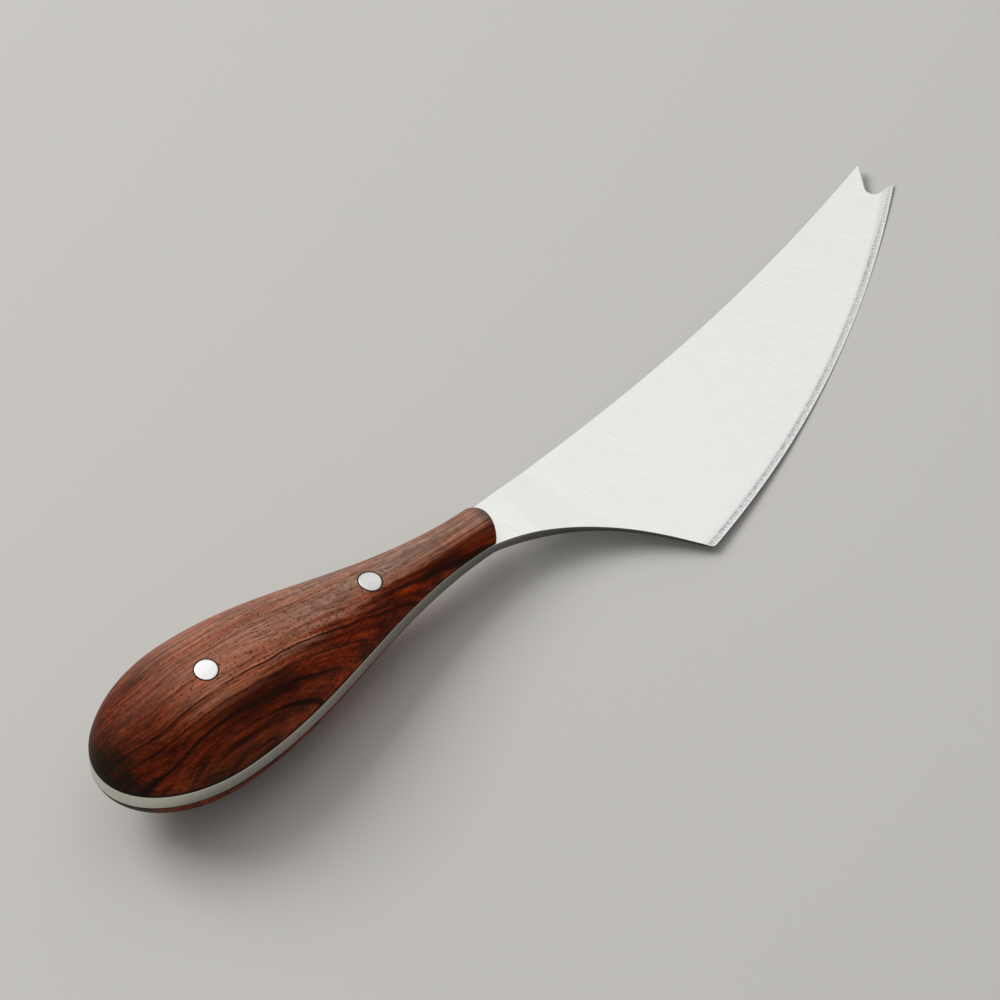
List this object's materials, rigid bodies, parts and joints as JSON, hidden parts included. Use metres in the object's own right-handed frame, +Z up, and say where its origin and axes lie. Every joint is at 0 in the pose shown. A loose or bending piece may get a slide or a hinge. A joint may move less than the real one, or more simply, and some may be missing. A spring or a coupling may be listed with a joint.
{
  "type": "cheese knife",
  "caption": "Full-tang cheese knife with a broad ground blade, a curved bevelled edge, a forked tip and a round wooden grip, for cutting cheese and picking up the slices.",
  "frame": {"origin": "middle of the bounding box at its bottom, on the table that the knife lies on", "axes": "+X along the knife, from the butt of the grip to the forked tip; +Y across it, towards the spine; +Z up from the table, out of the blade's upper face"},
  "size_m": [0.223, 0.0552, 0.0337],
  "materials": {
    "blade_steel": "fine cross-brushed satin, with a finer ground bevel",
    "scale_wood": "oiled red-brown wood with dark streaks and open pores",
    "pin_metal": "ground flush with the wood, light satin"
  },
  "bodies": {
    "root": {"blade": "blade_steel", "upper_scale": "scale_wood", "lower_scale": "scale_wood", "rear_pin": "pin_metal", "front_pin": "pin_metal"}
  },
  "joints": []
}
